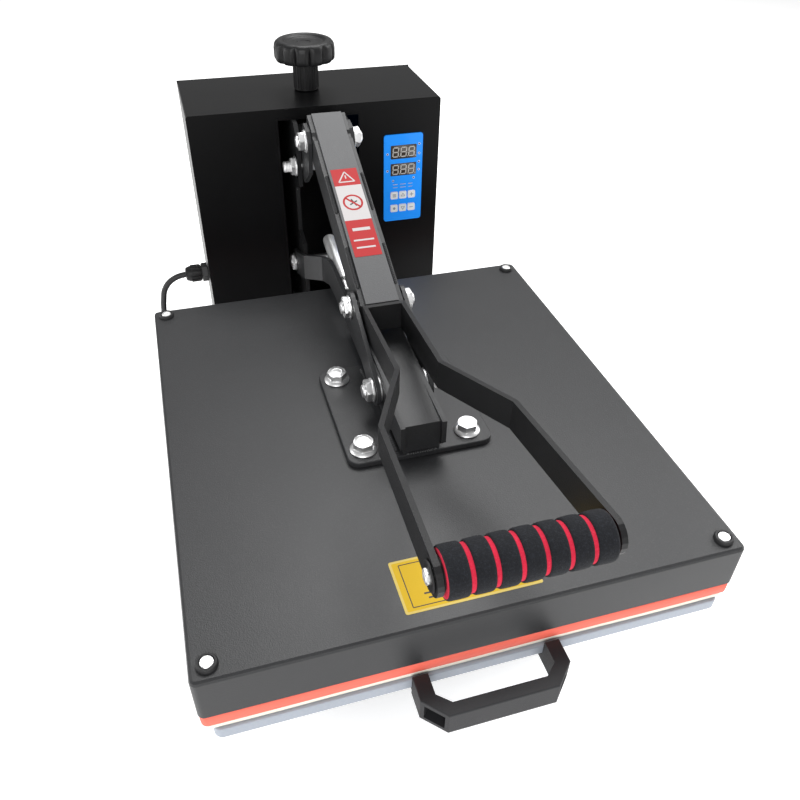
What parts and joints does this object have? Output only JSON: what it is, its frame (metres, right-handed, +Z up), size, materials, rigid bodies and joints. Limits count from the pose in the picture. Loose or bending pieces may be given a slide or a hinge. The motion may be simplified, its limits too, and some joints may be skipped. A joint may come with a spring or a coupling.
{
  "type": "clamshell heat press",
  "caption": "Clamshell heat press: flat upper platen raised by a toggle handle, padded pull-out lower platen, control box with display, keys and pressure knob.",
  "frame": {"origin": "centre of the bounding box at table level, cord left out", "axes": "+Z up, -Y towards the operator (handle grip and drawer handle), +X to the operator's right"},
  "size_m": [0.4071, 0.8212, 0.432],
  "materials": {
    "powder_coat": "dark charcoal fine-texture powder coat",
    "box_paint": "black satin paint",
    "arm_paint": "grey powder coat",
    "zinc": "bright zinc plate",
    "steel": "bare steel, drawn",
    "plastic": "moulded black, fine spark texture",
    "rubber": "black, matt",
    "foam": "navy-black closed-cell foam",
    "silicone": "coral red silicone sheet",
    "felt": "cream felt",
    "cast": "cast and machined aluminium",
    "blue_panel": "printed blue overlay",
    "key_white": "white keys"
  },
  "bodies": {
    "stand": {"base_frame": "powder_coat", "foot_front_left": "rubber", "foot_front_right": "rubber", "foot_back_left": "rubber", "foot_back_right": "rubber", "pedestal": "powder_coat", "bed_plate": "powder_coat", "slide_rail_left": "steel", "slide_rail_right": "steel", "column_left": "powder_coat", "column_right": "powder_coat", "screw_bridge": "steel", "housing_shell": "box_paint", "housing_back": "box_paint", "display_panel": "blue_panel", "switch_frame": "plastic", "cable_gland": "plastic", "power_cord": "rubber", "cord_coil": "rubber", "mains_plug": "plastic", "pivot_d_bolt": "zinc"},
    "knob": {"pressure_knob": "plastic", "pressure_screw": "steel"},
    "bracket": {"pressure_bracket": "powder_coat", "guide_bolt": "zinc", "pivot_a_bolt": "zinc"},
    "handle": {"arm_tube": "arm_paint", "arm_bar_left": "powder_coat", "arm_bar_right": "powder_coat", "handle_fork": "powder_coat", "grip_rod": "zinc", "foam_grip": "foam", "pivot_b_shaft": "zinc"},
    "links": {"link_left": "powder_coat", "link_right": "powder_coat", "pivot_b_end_left": "zinc", "pivot_b_end_right": "zinc"},
    "upper_platen": {"platen_cover": "powder_coat", "heating_plate": "cast", "insulation_board": "felt", "mounting_plate": "powder_coat", "platen_yoke": "powder_coat", "pivot_c_bolt": "zinc", "flange_bolt_front_left": "zinc", "flange_bolt_front_right": "zinc", "flange_bolt_back_left": "zinc", "flange_bolt_back_right": "zinc"},
    "drawer": {"silicone_pad": "silicone", "pad_backing": "felt", "lower_platen": "cast", "runner_left": "steel", "runner_right": "steel", "pull_handle": "plastic"},
    "rocker": {"power_rocker": "plastic"},
    "key_1": {"key_1": "key_white"},
    "key_2": {"key_2": "key_white"},
    "key_3": {"key_3": "key_white"},
    "key_4": {"key_4": "key_white"},
    "key_5": {"key_5": "key_white"},
    "key_6": {"key_6": "key_white"}
  },
  "joints": [
    {"name": "platen_hinge", "type": "hinge", "parent": "stand", "child": "upper_platen", "pos_m": [0, 0.2383, 0.197], "axis": [-1, 0, 0], "range_deg": [0, 40]},
    {"name": "handle_lift", "type": "hinge", "parent": "bracket", "child": "handle", "pos_m": [0, 0.1763, 0.364], "axis": [-1, 0, 0], "range_deg": [0, 76.2]},
    {"name": "link_swing", "type": "hinge", "parent": "upper_platen", "child": "links", "pos_m": [0, -0.0867, 0.246], "axis": [1, 0, 0], "range_deg": [0, 85.3]},
    {"name": "knob_turn", "type": "hinge", "parent": "stand", "child": "knob", "pos_m": [0, 0.2863, 0.41], "axis": [0, 0, 1], "range_deg": [-361, 361]},
    {"name": "bracket_lift", "type": "slide", "parent": "stand", "child": "bracket", "axis": [0, 0, 1], "range_m": [-0.002, 0.002]},
    {"name": "drawer_slide", "type": "slide", "parent": "stand", "child": "drawer", "axis": [0, -1, 0], "range_m": [0, 0.2]},
    {"name": "power_rocker_tilt", "type": "hinge", "parent": "stand", "child": "rocker", "pos_m": [0.1325, 0.2863, 0.121], "axis": [0, 1, 0], "range_deg": [0, 12]},
    {"name": "key_1_press", "type": "slide", "parent": "stand", "child": "key_1", "axis": [0, 1, 0], "range_m": [0, 0.001], "stiffness_N_per_m": 400},
    {"name": "key_2_press", "type": "slide", "parent": "stand", "child": "key_2", "axis": [0, 1, 0], "range_m": [0, 0.001], "stiffness_N_per_m": 400},
    {"name": "key_3_press", "type": "slide", "parent": "stand", "child": "key_3", "axis": [0, 1, 0], "range_m": [0, 0.001], "stiffness_N_per_m": 400},
    {"name": "key_4_press", "type": "slide", "parent": "stand", "child": "key_4", "axis": [0, 1, 0], "range_m": [0, 0.001], "stiffness_N_per_m": 400},
    {"name": "key_5_press", "type": "slide", "parent": "stand", "child": "key_5", "axis": [0, 1, 0], "range_m": [0, 0.001], "stiffness_N_per_m": 400},
    {"name": "key_6_press", "type": "slide", "parent": "stand", "child": "key_6", "axis": [0, 1, 0], "range_m": [0, 0.001], "stiffness_N_per_m": 400}
  ],
  "couplings": [
    {"joint": "handle_lift", "follows": "platen_hinge", "ratio": 1.9001},
    {"joint": "link_swing", "follows": "platen_hinge", "ratio": 2.1289},
    {"joint": "knob_turn", "follows": "bracket_lift", "rad_per_m": 3141.6}
  ]
}
